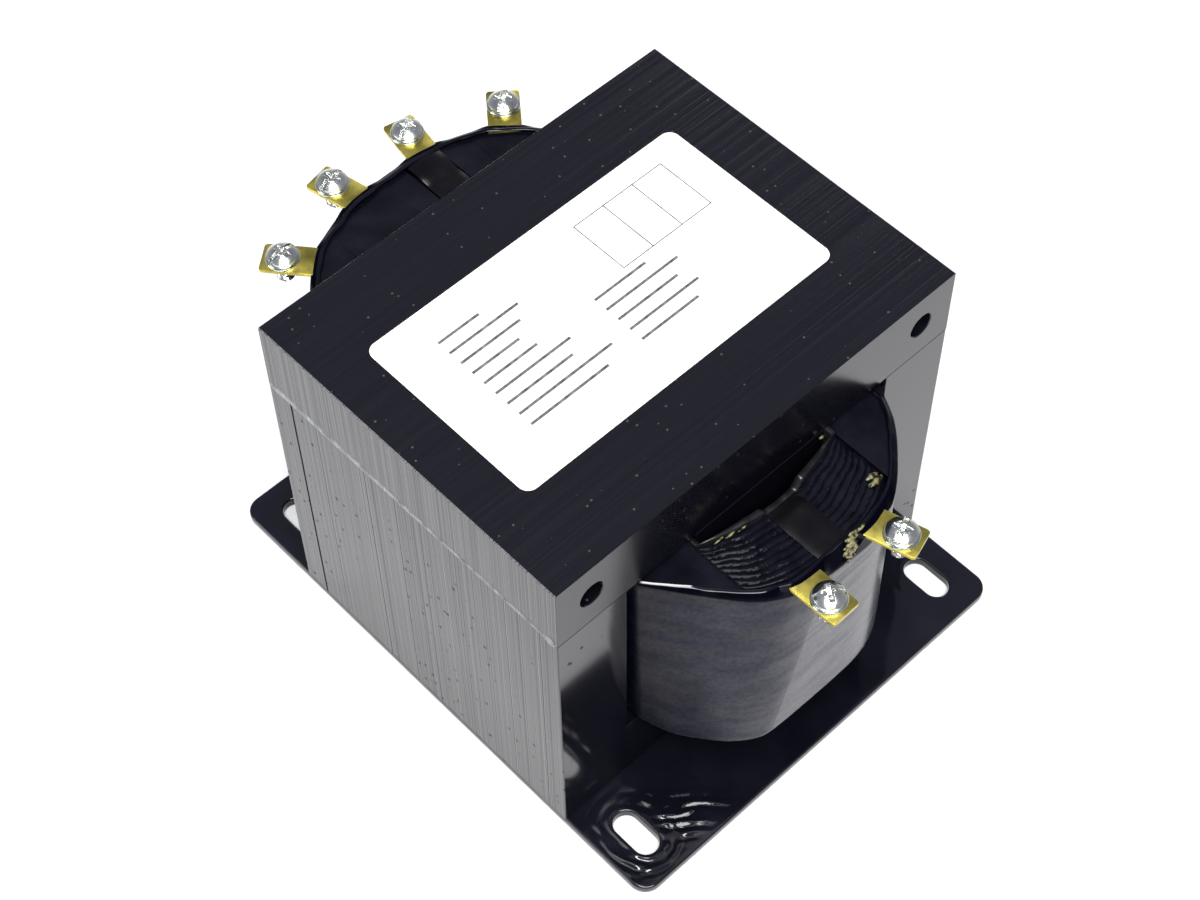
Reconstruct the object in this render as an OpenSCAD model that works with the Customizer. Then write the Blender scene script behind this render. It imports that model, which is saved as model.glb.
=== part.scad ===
// Industrial control transformer with an open core and coil. A welded stack of E and I laminations
// stands on a slotted foot plate. One layer-wound coil sits on the centre leg, and its leads end in
// screw terminals: two at the secondary end (+X) and four at the primary end (-X).
// X runs through the lamination stack, Y across it and Z up from the underside of the foot plate.

/* [Laminations] */
// Width of the centre leg, from which a scrapless E and I lamination takes its other sizes
leg_w = 44.45; // [38:0.05:52]
// Thickness of the stack of laminations
stack_d = 105; // [85:1:130]
// Diameter of the two tie holes through the yoke
tie_hole_d = 7.14; // [5:0.01:9]
// Width of the weld bead along each seam of the core
weld_w = 2.6; // [1.6:0.1:4]
// Height of the weld bead above the lamination edges
weld_h = 0.4; // [0.2:0.05:0.8]
// Length of seam left bare at each end of a weld bead
weld_end = 1.5; // [0.5:0.1:5]

/* [Foot plate] */
// Thickness of the foot plate
plate_t = 2.7; // [2:0.1:5]
// Reach of the foot plate past the stack at each end
plate_reach = 29.5; // [26:0.5:45]
// Radius of the corners of the foot plate
plate_corner_r = 5; // [1:0.5:9]
// Width of the mounting slots
slot_w = 7.14; // [5:0.01:9]
// Length of the mounting slots, end to end
slot_l = 14.3; // [10:0.1:18]
// Distance from the end of the foot plate to the middle of a slot
slot_from_end = 14.3; // [11:0.1:16]
// Distance from the side of the foot plate to the middle of a slot
slot_from_side = 10.7; // [8:0.1:16]

/* [Coil] */
// Wall of the paper former on the centre leg
former_wall = 1.6; // [0.8:0.1:3]
// Gap between the former and the laminations
former_gap = 0.3; // [0.1:0.05:0.8]
// How far the former bows away from the stack at each end
former_bow = 5; // [2:0.5:7]
// Height of the former that stands bare above and below the windings
former_margin = 2.4; // [1.5:0.1:4]
// Number of layers in the secondary winding
secondary_layers = 5; // [3:1:7]
// Number of layers in the primary winding
primary_layers = 6; // [3:1:8]
// Thickness of the insulation between the two windings
barrier_t = 0.9; // [0.4:0.1:2]
// Thickness of the outer wrap
wrap_t = 1; // [0.5:0.1:2]
// Gap between two neighbouring turns of material in the coil
coil_gap = 0.1; // [0.05:0.01:0.2]
// Gap between the coil and each outer leg of the core
window_gap = 2.9; // [1.5:0.1:5]
// Reach of the coil past the stack at the secondary end
secondary_reach = 26.5; // [22:0.5:32]
// Reach of the coil past the stack at the primary end
primary_reach = 33; // [28:0.5:38]
// Radius of the outer corners of the coil, as a share of half its width
coil_corner_share = 0.68; // [0.5:0.01:0.75]
// Depth of the groove between two winding layers at the ends of the coil
layer_groove_d = 1.1; // [0.4:0.1:2]
// Width of the groove between two winding layers
layer_groove_w = 0.5; // [0.2:0.05:0.8]

/* [Insulation] */
// Thickness of the paper strips and of the tape straps on top of the coil
sheet_t = 0.5; // [0.2:0.05:0.8]
// Width of the tape strap at each end of the coil
strap_w = 10.6; // [6:0.1:12]
// Distance that the papers stop short of the rim of the coil
sheet_inset = 1; // [0.5:0.1:3]
// Gap between the papers and what lies beside them on the coil
sheet_gap = 0.3; // [0.1:0.05:0.6]
// Distance of the primary strap from the middle of the coil
primary_strap_y = 10; // [9:0.1:12]

/* [Terminals] */
// Width of a terminal tab
tab_w = 9.2; // [7:0.1:11]
// Thickness of a terminal tab
tab_t = 1; // [0.6:0.1:1.6]
// Length of a tab past the rim of the coil
tab_reach = 12.7; // [11:0.1:16]
// Share of the build of the coil that the root of a tab lies on
tab_root_share = 0.285; // [0.2:0.005:0.3]
// Distance from the outer end of a tab to its screw
screw_from_end = 5.6; // [4.8:0.1:6]
// Distance of the inner primary tabs from the middle of the coil
primary_inner_y = 11.7; // [11:0.1:15]
// Turn of the inner primary tabs away from the stack direction, in degrees
primary_inner_turn = 11; // [0:1:20]
// Place of the outer primary tabs round the corner of the coil, in degrees
primary_outer_place = 47; // [38:1:55]
// Turn of the outer primary tabs away from the stack direction, in degrees
primary_outer_turn = 39; // [30:1:50]
// Distance of the secondary tabs from the middle of the coil
secondary_y = 11.7; // [11:0.1:15]
// Turn of the first secondary tab, in degrees
secondary_first_turn = 1; // [0:1:12]
// Turn of the second secondary tab, in degrees
secondary_second_turn = 17; // [5:1:22]

/* [Screws] */
// Diameter of the screw thread
screw_d = 4.8; // [3.5:0.1:5]
// Diameter of the screw head
head_d = 8.2; // [7:0.1:10]
// Height of the screw head
head_h = 2.8; // [2:0.1:4]
// Height of the straight rim of the screw head
head_rim_h = 1.4; // [0.8:0.1:1.8]
// Diameter of the washer under the head
washer_d = 9.2; // [7.5:0.1:10]
// Thickness of the washer
washer_t = 0.7; // [0.4:0.1:1.2]
// Length of the screw below the tab
screw_tail = 6.4; // [4:0.1:9]
// Gap around the screw in its tab and washer
screw_gap = 0.15; // [0.1:0.05:0.3]
// Width of the straight slot in the screw head
drive_slot_w = 1.2; // [0.8:0.1:1.6]
// Depth of the straight slot in the screw head
drive_slot_d = 1; // [0.6:0.1:1.6]
// Length of each arm pair of the cross recess
cross_l = 4.6; // [3.5:0.1:6]
// Width of the arms of the cross recess
cross_w = 1.5; // [1:0.1:1.8]
// Depth of the cross recess
cross_d = 1.7; // [1:0.1:2]

/* [Hidden] */
$fn = 96;

steel_colour = [0.10, 0.10, 0.11];
plate_colour = [0.05, 0.05, 0.06];
weld_colour = [0.22, 0.22, 0.23];
former_colour = [0.24, 0.23, 0.21];
winding_colour = [0.13, 0.12, 0.13];
paper_colour = [0.08, 0.08, 0.08];
wrap_colour = [0.09, 0.09, 0.11];
brass_colour = [0.75, 0.62, 0.25];
zinc_colour = [0.78, 0.79, 0.80];

// Overlap that lets a cut run clear of a face
cut = 1;
// Step to which the sizes of a coil outline are rounded
size_step = 0.01;
// Bow of a coil layer below which its ends are drawn flat
least_bow = 1;

// A scrapless lamination: outer legs, yokes and windows are half as wide as the centre leg
yoke_h = leg_w / 2;
window_w = leg_w / 2;
window_h = 1.5 * leg_w;
core_w = leg_w + 4 * window_w;
e_h = yoke_h + window_h;
core_bottom = plate_t;
window_bottom = core_bottom + yoke_h;
seam_z = core_bottom + e_h;
core_top = seam_z + yoke_h;
stack_end = stack_d / 2;
tie_hole_y = core_w / 2 - yoke_h / 2;
tie_hole_z = seam_z + yoke_h / 2;

plate_l = stack_d + 2 * plate_reach;
slot_x = plate_l / 2 - slot_from_end;
slot_y = core_w / 2 - slot_from_side;

// The coil, from the former's outer face to the wrap's outer face
former_top = seam_z - former_gap;
coil_bottom = window_bottom + former_margin;
coil_top = seam_z - former_margin;
coil_h = coil_top - coil_bottom;
former_hole_y = leg_w / 2 + former_gap;
former_hole_x = stack_end + former_gap + former_bow;
inner_y = former_hole_y + former_wall;
inner_x = former_hole_x + former_wall;
former_corner_r = former_bow + 2 * former_wall;
outer_y = leg_w / 2 + window_w - window_gap;
outer_front = stack_end + secondary_reach;
outer_back = stack_end + primary_reach;
build = outer_y - inner_y;
coil_corner_r = coil_corner_share * outer_y;
flat_y = outer_y - coil_corner_r;
layer_t = (build - barrier_t - wrap_t - 3 * coil_gap) / (secondary_layers + primary_layers);
secondary_build = secondary_layers * layer_t;
barrier_start = secondary_build + coil_gap;
primary_start = barrier_start + barrier_t + coil_gap;
wrap_start = build - wrap_t;

tab_root = tab_root_share * build;
tab_z = coil_top;
washer_z = tab_z + tab_t;
head_z = washer_z + washer_t;
dome_r = (pow(head_d / 2, 2) + pow(head_h - head_rim_h, 2)) / (2 * (head_h - head_rim_h));

// Reach of the coil's rim along X at a distance y from its middle
function rim_x(reach_x, y) =
    abs(y) <= flat_y
        ? reach_x
        : reach_x - coil_corner_r + sqrt(pow(coil_corner_r, 2) - pow(abs(y) - flat_y, 2));

primary_outer_y = flat_y + coil_corner_r * sin(primary_outer_place);

// Each terminal: the end of the coil it is on, its place across that end, and its turn
primary_seats = [
    [-1, -primary_outer_y, 180 + primary_outer_turn],
    [-1, -primary_inner_y, 180 + primary_inner_turn],
    [-1, primary_inner_y, 180 - primary_inner_turn],
    [-1, primary_outer_y, 180 - primary_outer_turn]
];
secondary_seats = [
    [1, -secondary_y, secondary_first_turn],
    [1, secondary_y, secondary_second_turn]
];

// Nearest whole step of size, so that the arcs and straights of an outline meet exactly
function to_step(size) = round(size / size_step) * size_step;

// Rectangle from x = -back to x = front, 2 * half_y wide, with round corners
module round_rectangle(back, front, half_y, r) {
    translate([-back, r - half_y]) square([back + front, 2 * (half_y - r)]);
    translate([r - back, -half_y]) square([back + front - 2 * r, 2 * half_y]);
    for (x = [r - back, front - r], y = [r - half_y, half_y - r]) translate([x, y]) circle(r);
}

// Slot with half-round ends, centred, that runs along X
module slot_outline(length, width) {
    square([length - width, width], center = true);
    for (x = [-1, 1]) translate([x * (length - width) / 2, 0]) circle(d = width);
}

// Outline of the coil at a depth measured from the former's outer face out through the window.
// Near the former the ends are bowed arcs, and further out they flatten into wide round corners.
module coil_outline(depth) {
    share = depth / build;
    half_y = to_step(inner_y + depth);
    front = to_step(inner_x + share * (outer_front - inner_x));
    back = to_step(inner_x + share * (outer_back - inner_x));
    corner = to_step(former_corner_r + share * (coil_corner_r - former_corner_r));
    bow = to_step(former_bow * (1 - share));
    intersection() {
        round_rectangle(back, front, half_y, corner);
        if (bow > least_bow) end_arcs(back, front, half_y, bow);
    }
}

// Space between two arcs that bow outwards at both ends of the coil
module end_arcs(back, front, half_y, bow) {
    r = (pow(half_y, 2) + pow(bow, 2)) / (2 * bow);
    union() {
        intersection() {
            translate([front - r, 0]) circle(r);
            translate([0, -half_y - cut]) square([front + cut, 2 * (half_y + cut)]);
        }
        intersection() {
            translate([r - back, 0]) circle(r);
            translate([-back - cut, -half_y - cut]) square([back + cut, 2 * (half_y + cut)]);
        }
    }
}

// Upright ring of the coil between two depths
module coil_ring(from_depth, to_depth, h) {
    linear_extrude(h) difference() {
        coil_outline(to_depth);
        coil_outline(from_depth);
    }
}

// Winding of several layers whose ends show a groove between each layer and the next
module layered_winding(from_depth, layers) {
    difference() {
        translate([0, 0, coil_bottom]) coil_ring(from_depth, from_depth + layers * layer_t, coil_h);
        for (i = [1:layers - 1], z = [coil_bottom - cut, coil_top - layer_groove_d]) {
            edge = from_depth + i * layer_t;
            translate([0, 0, z])
                coil_ring(edge - layer_groove_w / 2, edge + layer_groove_w / 2, layer_groove_d + cut);
        }
    }
}

// Solid of uniform section, drawn in Y and Z, that runs the length of the stack
module along_stack(length) {
    translate([-length / 2, 0, 0]) rotate([90, 0, 90]) linear_extrude(length) children();
}

module foot_plate() {
    color(plate_colour) linear_extrude(plate_t) difference() {
        round_rectangle(plate_l / 2, plate_l / 2, core_w / 2, plate_corner_r);
        for (x = [-slot_x, slot_x], y = [-slot_y, slot_y]) translate([x, y]) slot_outline(slot_l, slot_w);
    }
}

module core_e_stack() {
    color(steel_colour) along_stack(stack_d) difference() {
        translate([-core_w / 2, core_bottom]) square([core_w, e_h]);
        for (y = [-leg_w / 2 - window_w, leg_w / 2])
            translate([y, window_bottom]) square([window_w, window_h + cut]);
    }
}

module core_i_stack() {
    color(steel_colour) along_stack(stack_d) difference() {
        translate([-core_w / 2, seam_z]) square([core_w, yoke_h]);
        for (y = [-tie_hole_y, tie_hole_y]) translate([y, tie_hole_z]) circle(d = tie_hole_d);
    }
}

// Low rounded bead along the seam, on the side of the core that side (-1 or 1) names
module seam_weld(side) {
    r = (pow(weld_w / 2, 2) + pow(weld_h, 2)) / (2 * weld_h);
    color(weld_colour) along_stack(stack_d - 2 * weld_end) translate([side * core_w / 2, seam_z])
        intersection() {
            translate([side * (weld_h - r), 0]) circle(r);
            translate([side < 0 ? -weld_h - cut : 0, -weld_w]) square([weld_h + cut, 2 * weld_w]);
        }
}

module coil_former() {
    color(former_colour) translate([0, 0, window_bottom]) linear_extrude(former_top - window_bottom)
        difference() {
            coil_outline(0);
            intersection() {
                square([2 * former_hole_x, 2 * former_hole_y], center = true);
                end_arcs(former_hole_x, former_hole_x, former_hole_y, former_bow);
            }
        }
}

module secondary_winding() {
    color(winding_colour) layered_winding(coil_gap, secondary_layers);
}

module winding_barrier() {
    color(paper_colour) translate([0, 0, coil_bottom])
        coil_ring(barrier_start + coil_gap, barrier_start + barrier_t, coil_h);
}

module primary_winding() {
    color(winding_colour) layered_winding(primary_start, primary_layers);
}

module coil_wrap() {
    color(wrap_colour) translate([0, 0, coil_bottom]) coil_ring(wrap_start, build, coil_h);
}

// Paper strip that lines the top of one window and runs out over both ends of the coil
module window_paper(side) {
    strip_w = build - sheet_inset;
    strip_y = side < 0 ? -inner_y - sheet_gap - strip_w : inner_y + sheet_gap;
    color(paper_colour) translate([0, 0, coil_top]) linear_extrude(sheet_t) difference() {
        intersection() {
            coil_outline(build - sheet_inset);
            translate([-outer_back, strip_y]) square([outer_back + outer_front, strip_w]);
        }
        for (seat = primary_seats) at_seat(seat) tab_clearance();
    }
}

// Room that a paper leaves around the root of a tab
module tab_clearance() {
    translate([-tab_root - sheet_gap, -tab_w / 2 - sheet_gap])
        square([tab_root + tab_reach, tab_w + 2 * sheet_gap]);
}

// Paper over the primary winding ends, between a window paper and the strap
module primary_end_paper(side) {
    strap_edge = primary_strap_y + side * (strap_w / 2 + sheet_gap);
    paper_y = side < 0 ? -inner_y : strap_edge;
    paper_w = side < 0 ? strap_edge + inner_y : inner_y - strap_edge;
    color(paper_colour) translate([0, 0, coil_top]) linear_extrude(sheet_t) intersection() {
        difference() {
            coil_outline(build - tab_root - sheet_inset);
            coil_outline(sheet_gap);
        }
        translate([-outer_back, paper_y]) square([primary_reach, paper_w]);
    }
}

// Tape strap across the winding ends, from the former to the rim of the coil
module secondary_strap() {
    color(paper_colour) translate([0, 0, coil_top]) linear_extrude(sheet_t) difference() {
        translate([0, -strap_w / 2]) square([outer_front, strap_w]);
        coil_outline(sheet_gap);
    }
}

// Tape strap that steps up over the root of the third primary tab
module primary_strap() {
    step_x = outer_back - tab_root - tab_w / 2 * sin(primary_inner_turn) - sheet_gap;
    inner_end = inner_x + sheet_gap;
    low = coil_top;
    high = coil_top + tab_t;
    profile = [
        [inner_end, low], [step_x, low], [step_x, high], [outer_back, high],
        [outer_back, high + sheet_t], [step_x - sheet_t, high + sheet_t],
        [step_x - sheet_t, low + sheet_t], [inner_end, low + sheet_t]
    ];
    color(paper_colour) translate([0, primary_strap_y + strap_w / 2, 0]) mirror([1, 0, 0]) rotate([90, 0, 0])
        linear_extrude(strap_w) polygon(profile);
}

// Puts a child at a terminal: +X runs outwards from the rim of the coil
module at_seat(seat) {
    reach = seat[0] > 0 ? outer_front : outer_back;
    translate([seat[0] * rim_x(reach, seat[1]), seat[1], 0]) rotate([0, 0, seat[2]]) children();
}

module at_screw(seat) {
    at_seat(seat) translate([tab_reach - screw_from_end, 0, 0]) children();
}

module terminal_tab(seat) {
    color(brass_colour) difference() {
        at_seat(seat) translate([-tab_root, -tab_w / 2, tab_z]) cube([tab_root + tab_reach, tab_w, tab_t]);
        at_screw(seat) translate([0, 0, tab_z - cut]) cylinder(d = screw_d + 2 * screw_gap, h = tab_t + 2 * cut);
    }
}

module terminal_washer(seat) {
    color(zinc_colour) at_screw(seat) translate([0, 0, washer_z]) difference() {
        cylinder(d = washer_d, h = washer_t);
        translate([0, 0, -cut]) cylinder(d = screw_d + 2 * screw_gap, h = washer_t + 2 * cut);
    }
}

// Pan head with a domed top, a straight slot and a cross recess, on a plain shank
module terminal_screw(seat) {
    head_top = head_z + head_h;
    color(zinc_colour) at_screw(seat) difference() {
        union() {
            translate([0, 0, tab_z - screw_tail]) cylinder(d = screw_d, h = head_z + cut - tab_z + screw_tail);
            intersection() {
                translate([0, 0, head_z]) cylinder(d = head_d, h = head_h);
                translate([0, 0, head_top - dome_r]) sphere(dome_r);
            }
        }
        translate([-head_d / 2 - cut, -drive_slot_w / 2, head_top - drive_slot_d])
            cube([head_d + 2 * cut, drive_slot_w, drive_slot_d + cut]);
        for (a = [0, 90]) rotate([0, 0, a]) translate([-cross_l / 2, -cross_w / 2, head_top - cross_d])
            cube([cross_l, cross_w, cross_d + cut]);
    }
}

foot_plate();
core_e_stack();
core_i_stack();
seam_weld(-1);  // seam_weld_left
seam_weld(1);  // seam_weld_right
coil_former();
secondary_winding();
winding_barrier();
primary_winding();
coil_wrap();
window_paper(-1);  // window_paper_left
window_paper(1);  // window_paper_right
primary_end_paper(-1);  // primary_end_paper_left
primary_end_paper(1);  // primary_end_paper_right
secondary_strap();
primary_strap();
for (i = [0:3]) {
    terminal_tab(primary_seats[i]);
    terminal_washer(primary_seats[i]);
    terminal_screw(primary_seats[i]);
}
for (i = [0:1]) {
    terminal_tab(secondary_seats[i]);
    terminal_washer(secondary_seats[i]);
    terminal_screw(secondary_seats[i]);
}
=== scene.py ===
import math

import bmesh
import bpy
import numpy as np
from bpy.props import FloatProperty, FloatVectorProperty, IntProperty, PointerProperty
from mathutils import Matrix, Vector


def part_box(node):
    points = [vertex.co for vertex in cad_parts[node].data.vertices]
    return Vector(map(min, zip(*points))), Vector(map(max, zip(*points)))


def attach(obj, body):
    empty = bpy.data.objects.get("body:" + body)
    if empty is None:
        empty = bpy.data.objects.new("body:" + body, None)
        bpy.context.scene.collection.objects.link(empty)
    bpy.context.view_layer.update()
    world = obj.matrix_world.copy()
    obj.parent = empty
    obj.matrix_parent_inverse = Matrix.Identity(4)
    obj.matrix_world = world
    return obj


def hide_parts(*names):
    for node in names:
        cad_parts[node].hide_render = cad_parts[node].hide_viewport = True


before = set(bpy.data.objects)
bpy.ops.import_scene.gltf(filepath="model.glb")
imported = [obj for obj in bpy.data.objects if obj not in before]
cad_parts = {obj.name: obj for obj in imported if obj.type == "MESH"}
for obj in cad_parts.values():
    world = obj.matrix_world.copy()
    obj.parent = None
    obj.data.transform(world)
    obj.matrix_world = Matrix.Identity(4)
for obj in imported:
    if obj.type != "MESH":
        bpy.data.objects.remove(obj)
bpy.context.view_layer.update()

bl_info = {
    "name": "Control transformer",
    "version": (1, 0, 0),
    "blender": (4, 5, 0),
    "location": "View3D > Sidebar > Transformer",
    "description": "Builds the visible pieces of an open core-and-coil control transformer",
    "category": "Object",
}

# Shapes are worked out in mm and made in metres. A pattern's ramp reads an axis in tenths of a metre
MM = 0.001
WELD = 1e-6
FULL_TURN = math.tau
QUARTER_TURN = math.tau / 4
AXIS_SCALE = 10


def box_of(node):
    """Lowest and highest corner of a CAD node in mm."""
    low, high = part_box(node)
    return np.array(low) / MM, np.array(high) / MM


def middle_of(node):
    """Middle of a CAD node's box."""
    low, high = box_of(node)
    return (low + high) / 2


PLATE_HIGH = box_of("foot_plate")[1]
E_LOW, E_HIGH = box_of("core_e_stack")
I_LOW, I_HIGH = box_of("core_i_stack")
FORMER_LOW, FORMER_HIGH = box_of("coil_former")
WRAP_LOW, WRAP_HIGH = box_of("coil_wrap")

# The core: its tie holes, the slots of its plate, and where one E lamination lies deeper than the rest
TIE_RADIUS = 3.57
SLOT_LENGTH = 14.3
SLOT_WIDTH = 7.14
SLOT_CENTRE = np.array([67.7, 55.975])
SUNK_PLACE = -44.0
SUNK_DEPTH = 0.2

# The coil: how far it reaches along X and its half width, at the former and at the wrap
INNER_REACH = FORMER_HIGH[0]
INNER_HALF = FORMER_HIGH[1]
FORMER_BOW = 5.0
FORMER_WALL = 1.6
OUTER_FRONT = WRAP_HIGH[0]
OUTER_BACK = -WRAP_LOW[0]
OUTER_HALF = WRAP_HIGH[1]
BUILD = OUTER_HALF - INNER_HALF
COIL_TOP = WRAP_HIGH[2]
COIL_BOTTOM = WRAP_LOW[2]
RIM_TOP = COIL_TOP + 1.6
END_STEPS = 190
SIDE_STEPS = 12

# Ends of the coil at its top rim and at its bottom, as corners (y, reach along X):
# the wrap is creased into flat runs
FRONT_RIM = np.array([
    (-41.55, 52.6), (-33.0, 63.4), (-24.0, 74.2), (-15.5, 79.0), (-5.5, 80.4), (8.0, 80.5),
    (15.0, 79.6), (21.0, 77.2), (27.0, 72.9), (34.5, 65.8), (38.5, 60.8), (41.55, 54.8),
])
FRONT_BASE = np.array([
    (-41.55, 54.5), (-38.8, 64.0), (-31.0, 74.0), (-25.5, 78.2), (-21.0, 80.3), (8.0, 80.6),
    (15.0, 79.6), (21.0, 77.3), (27.0, 73.3), (34.5, 66.4), (38.5, 61.4), (41.55, 55.2),
])
BACK_RIM = np.array([
    (-41.55, 67.5), (-39.0, 70.7), (-29.7, 79.6), (-16.6, 84.7), (-7.2, 85.9),
    (6.5, 86.0), (16.3, 85.2), (29.6, 80.9), (37.0, 74.3), (41.55, 68.9),
])
BACK_BASE = np.array([
    (-41.55, 62.0), (-38.0, 72.0), (-30.0, 80.5), (-17.0, 84.9), (-8.0, 85.4),
    (8.0, 85.4), (17.0, 84.9), (30.0, 80.5), (38.0, 72.0), (41.55, 62.0),
])

# The rim of the wrap at the front: across it (y), how wide its lip is and how far down it starts to lean in
RIM_PLACES = np.array([-24.0, -14.0, -4.0, 6.0, 14.0, 22.0])
RIM_LIPS = np.array([1.6, 1.9, 2.8, 2.9, 2.9, 2.2])
RIM_LEANS = np.array([1.4, 1.8, 4.2, 4.6, 4.2, 1.6])

# Lumps of dried varnish: middle and half size in mm
CRUSTS = (
    ((70.8, 21.0, 89.4), (0.9, 2.6, 0.6)),
    ((69.2, 21.4, 89.6), (0.7, 1.6, 0.5)),
    ((53.4, 20.4, 90.9), (0.4, 0.9, 0.4)),
    ((56.9, -18.6, 90.3), (0.25, 1.6, 0.25)),
    ((57.7, -15.4, 90.3), (0.3, 1.8, 0.25)),
    ((58.4, -12.2, 90.3), (0.25, 1.4, 0.2)),
)

# Each terminal: its name, its number and the way its tab points, in degrees from +X
TERMINALS = (
    ("primary", 1, 219.0),
    ("primary", 2, 191.0),
    ("primary", 3, 169.0),
    ("primary", 4, 141.0),
    ("secondary", 1, 1.0),
    ("secondary", 2, 17.0),
)
RIM_TO_SCREW = 7.1
TAB_WIDTH = 9.2
SCREW_RADIUS = 2.4

LABEL_CENTRE = np.array([-0.65, -1.6])
LABEL_THICKNESS = 0.16


def length_setting(name, description, size):
    """Setting for a length, whose default is given in mm."""
    return FloatProperty(name=name, description=description, default=size * MM, unit="LENGTH", precision=6)


def colour_setting(name, description, default):
    """Setting for a colour."""
    return FloatVectorProperty(name=name, description=description, default=default, subtype="COLOR")


class TransformerSizes(bpy.types.PropertyGroup):
    """Sizes of the visible pieces"""

    lamination: length_setting("Lamination", "Thickness of one lamination", 0.62)
    edge_relief: length_setting("Edge relief", "How far the laminations stand in and out", 0.022)
    plate_ripple: length_setting("Plate ripple", "Height of the runs of varnish round the slots", 0.27)
    layers: IntProperty(name="Layers", description="Winding layers that show at the coil's ends", default=10)
    layer_groove: length_setting("Layer groove", "Depth of the groove between two winding layers", 0.6)
    lip: length_setting("Wrap lip", "Width of the wrap that turns in over the rim of the coil", 1.8)
    label_width: length_setting("Label width", "Size of the label along the stack", 57.6)
    label_length: length_setting("Label length", "Size of the label across the stack", 102.1)
    thread_pitch: length_setting("Thread pitch", "Pitch of the screw thread", 0.8)


class TransformerColours(bpy.types.PropertyGroup):
    """Colours of the visible pieces"""

    varnish: colour_setting("Varnish", "Black varnish over the steel", (0.0032, 0.0032, 0.006))
    # Pale weld colour: scale on the beads, and also made pale to stand in for the highlight along them.
    weld: colour_setting("Weld", "Scale on the weld beads", (0.11, 0.112, 0.112))
    wrap: colour_setting("Wrap", "Varnished outer wrap of the coil", (0.003, 0.003, 0.012))
    paper: colour_setting("Paper", "Varnished papers on the coil", (0.0032, 0.0032, 0.006))
    tape: colour_setting("Tape", "Varnished tape of the straps", (0.0022, 0.0022, 0.0026))
    crust: colour_setting("Dried varnish", "Pale lumps of dried varnish", (0.22, 0.2, 0.09))
    former: colour_setting("Former", "Paper of the former", (0.006, 0.006, 0.007))
    brass: colour_setting("Brass", "Brass of the terminal tabs", (0.58, 0.49, 0.1))
    zinc: colour_setting("Zinc", "Zinc on the terminal screws", (0.74, 0.77, 0.71))
    label: colour_setting("Label", "Paper of the label", (0.86, 0.855, 0.80))
    floor: colour_setting("Floor", "Studio floor", (0.86, 0.86, 0.85))


def rise(value, start, end):
    """Smooth step from 0 at start to 1 at end."""
    share = np.clip((value - start) / (end - start), 0, 1)
    return share * share * (3 - 2 * share)


def between(first, last, share):
    """Value that far of the way from the first to the last."""
    return first + share * (last - first)


def waves(x, y, length, seed):
    """Sum of sine waves of about one length that cross at angles drawn from a seed, mostly between -1 and
    1."""
    count = 9
    draw = np.random.default_rng(seed)
    angle = draw.uniform(0, FULL_TURN, count)
    number = FULL_TURN / length * draw.uniform(0.6, 1.6, count)
    phase = draw.uniform(0, FULL_TURN, count)
    x, y = np.broadcast_arrays(x, y)
    across = x[..., None] * np.cos(angle) + y[..., None] * np.sin(angle)
    return np.sin(across * number + phase).sum(axis=-1) / math.sqrt(2 * count)


def column(*values):
    """Values down a column, each of which holds for a whole row of a grid."""
    return np.array(values)[:, None]


def stack_xyz(x, y, z):
    """Points from coordinates that broadcast to one shape."""
    return np.stack(np.broadcast_arrays(x, y, z), axis=-1)


def at_height(plan, z):
    """Points of a plan (x, y) at one height or at a height for each of them."""
    return stack_xyz(plan[..., 0], plan[..., 1], z)


def turned_about(centre, radius, angle, z):
    """Points at a radius, an angle and a height about an upright axis."""
    return stack_xyz(centre[0] + radius * np.cos(angle), centre[1] + radius * np.sin(angle), z)


def circle(steps):
    """Angles of some steps round a full turn."""
    return np.linspace(0, FULL_TURN, steps, endpoint=False)


def heading(turn):
    """Level direction at some degrees from +X."""
    angle = math.radians(turn)
    return np.array([math.cos(angle), math.sin(angle)])


def rounded_rectangle(half_x, half_y, corner, steps):
    """Closed line round a rectangle whose corners are arcs of some points each."""
    arcs = []
    for x, y, first in ((1, -1, -90), (1, 1, 0), (-1, 1, 90), (-1, -1, 180)):
        angle = np.radians(first + np.linspace(0, 90, steps))
        middle = np.array([x * (half_x - corner), y * (half_y - corner)])
        arcs.append(middle + corner * np.stack([np.cos(angle), np.sin(angle)], axis=1))
    return np.concatenate(arcs)


def grid(points, close_rows=False, close_columns=False):
    """Quads over a grid of points; a closed direction joins its last line of points to its first."""
    rows, columns = points.shape[:2]
    row = np.arange(rows if close_rows else rows - 1)
    place = np.arange(columns if close_columns else columns - 1)
    row, place = np.meshgrid(row, place, indexing="ij")
    here = row * columns
    below = (row + 1) % rows * columns
    beside = (place + 1) % columns
    quads = np.stack([here + place, here + beside, below + beside, below + place], axis=-1)
    return points.reshape(-1, 3), quads.reshape(-1, 4)


def cap(points):
    """One face across a closed line of points."""
    return points, np.arange(len(points))[None]


def bar(rings):
    """Rings of points joined along a path, with a face across each end."""
    return [grid(rings, close_columns=True), cap(rings[0]), cap(rings[-1])]


def sheet(top, thickness):
    """Thin closed sheet under a grid of points: each line of the grid and its copy below it make one
    closed ring."""
    under = top - np.array([0, 0, thickness])
    return bar(np.concatenate([top, under[:, ::-1]], axis=1))


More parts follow.
